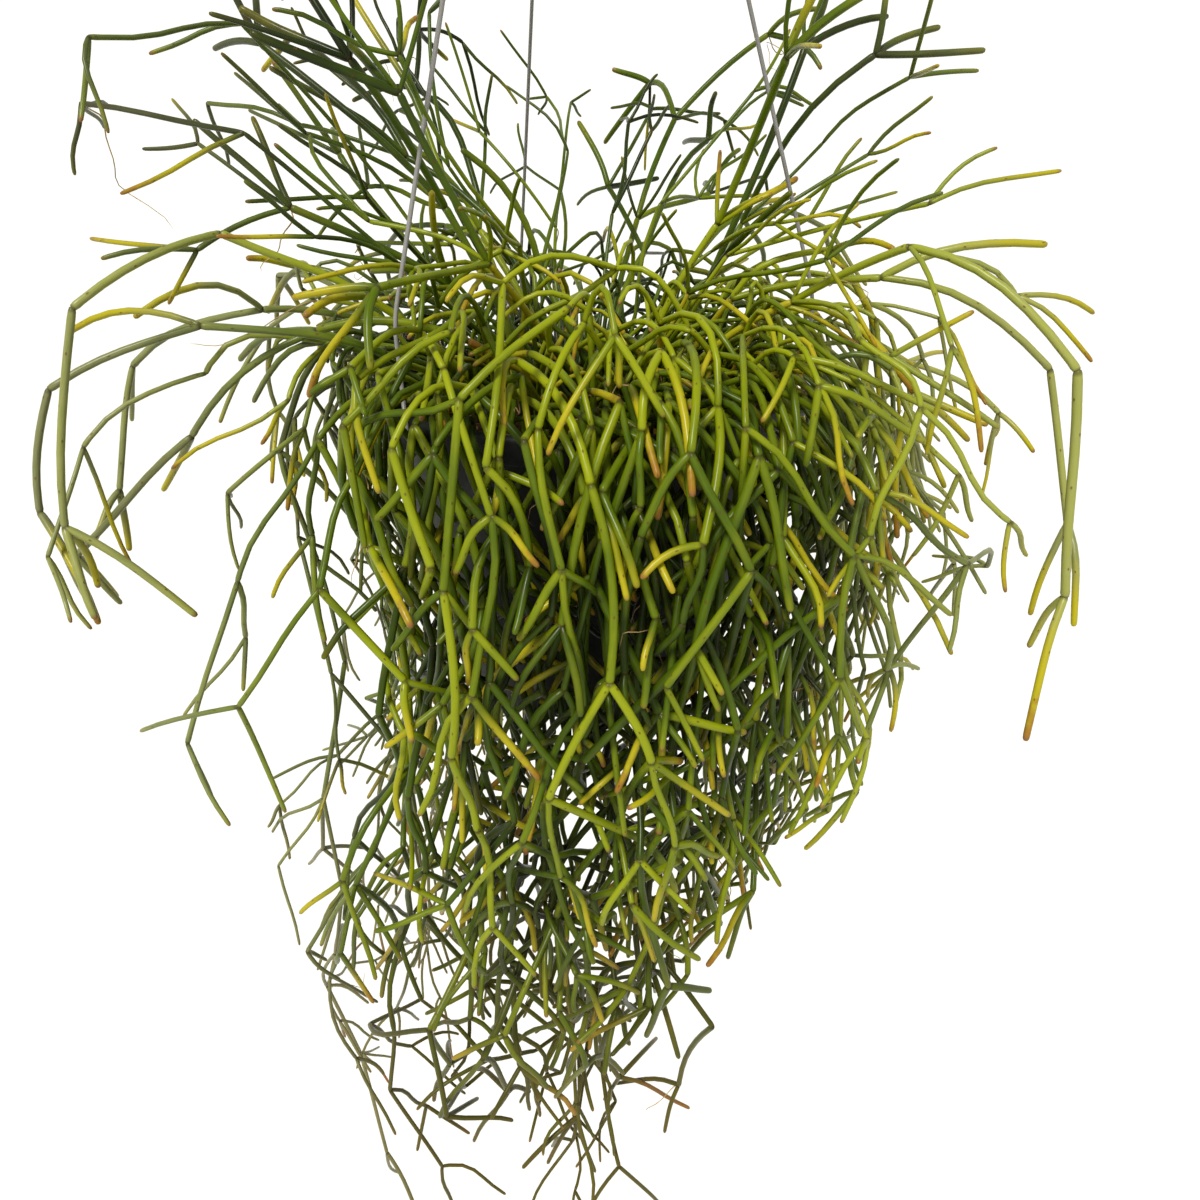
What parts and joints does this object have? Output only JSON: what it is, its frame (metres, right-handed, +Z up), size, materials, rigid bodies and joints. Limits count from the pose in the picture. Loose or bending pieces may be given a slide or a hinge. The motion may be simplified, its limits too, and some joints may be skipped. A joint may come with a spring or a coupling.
{
  "type": "mistletoe cactus in a hanging pot",
  "caption": "Tapered plastic hanging pot on three strands and a hook, filled with soil and a dense cascade of forking, leafless, thin round green cactus stems.",
  "frame": {"origin": "inside top of the hook, where it bears on the rail or ceiling hook that it hangs from", "axes": "+Z up, -Y towards the side of the plant with the densest curtain of stems, +X to that side's right"},
  "size_m": [0.3429, 0.301, 0.7701],
  "materials": {
    "pot_plastic": "dark charcoal-grey moulded plastic, slightly glossy, faintly scuffed",
    "hanger_plastic": "grey, slightly translucent moulded plastic",
    "potting_soil": "dark crumbly peat with bark and fibres",
    "upright_stem": "waxy green stem with dark joints, small brown areoles and tan tips",
    "arching_stem": "waxy yellow-green stem with dark joints and orange-tan drooping tips",
    "trailing_stem": "waxy green stem, lighter in the light and olive lower down, with dark joints"
  },
  "bodies": {
    "root": {"arching_01": "arching_stem", "arching_02": "arching_stem", "arching_03": "arching_stem", "arching_04": "arching_stem", "arching_05": "arching_stem", "arching_06": "arching_stem", "arching_07": "arching_stem", "arching_08": "arching_stem", "arching_09": "arching_stem", "arching_10": "arching_stem", "arching_11": "arching_stem", "hook": "hanger_plastic", "pot": "pot_plastic", "soil": "potting_soil", "strand_left": "hanger_plastic", "strand_rear": "hanger_plastic", "strand_right": "hanger_plastic", "trailing_01": "trailing_stem", "trailing_02": "trailing_stem", "trailing_03": "trailing_stem", "trailing_04": "trailing_stem", "trailing_05": "trailing_stem", "trailing_06": "trailing_stem", "trailing_07": "trailing_stem", "trailing_08": "trailing_stem", "trailing_09": "trailing_stem", "trailing_10": "trailing_stem", "trailing_11": "trailing_stem", "trailing_12": "trailing_stem", "trailing_13": "trailing_stem", "trailing_14": "trailing_stem", "trailing_15": "trailing_stem", "trailing_16": "trailing_stem", "trailing_17": "trailing_stem", "trailing_18": "trailing_stem", "trailing_19": "trailing_stem", "trailing_20": "trailing_stem", "trailing_21": "trailing_stem", "trailing_22": "trailing_stem", "trailing_23": "trailing_stem", "trailing_24": "trailing_stem", "trailing_25": "trailing_stem", "trailing_26": "trailing_stem", "trailing_27": "trailing_stem", "trailing_28": "trailing_stem", "upright_01": "upright_stem", "upright_02": "upright_stem", "upright_03": "upright_stem", "upright_04": "upright_stem", "upright_05": "upright_stem", "upright_06": "upright_stem", "upright_07": "upright_stem", "upright_08": "upright_stem", "upright_09": "upright_stem", "upright_10": "upright_stem", "upright_11": "upright_stem", "upright_12": "upright_stem"}
  },
  "joints": []
}
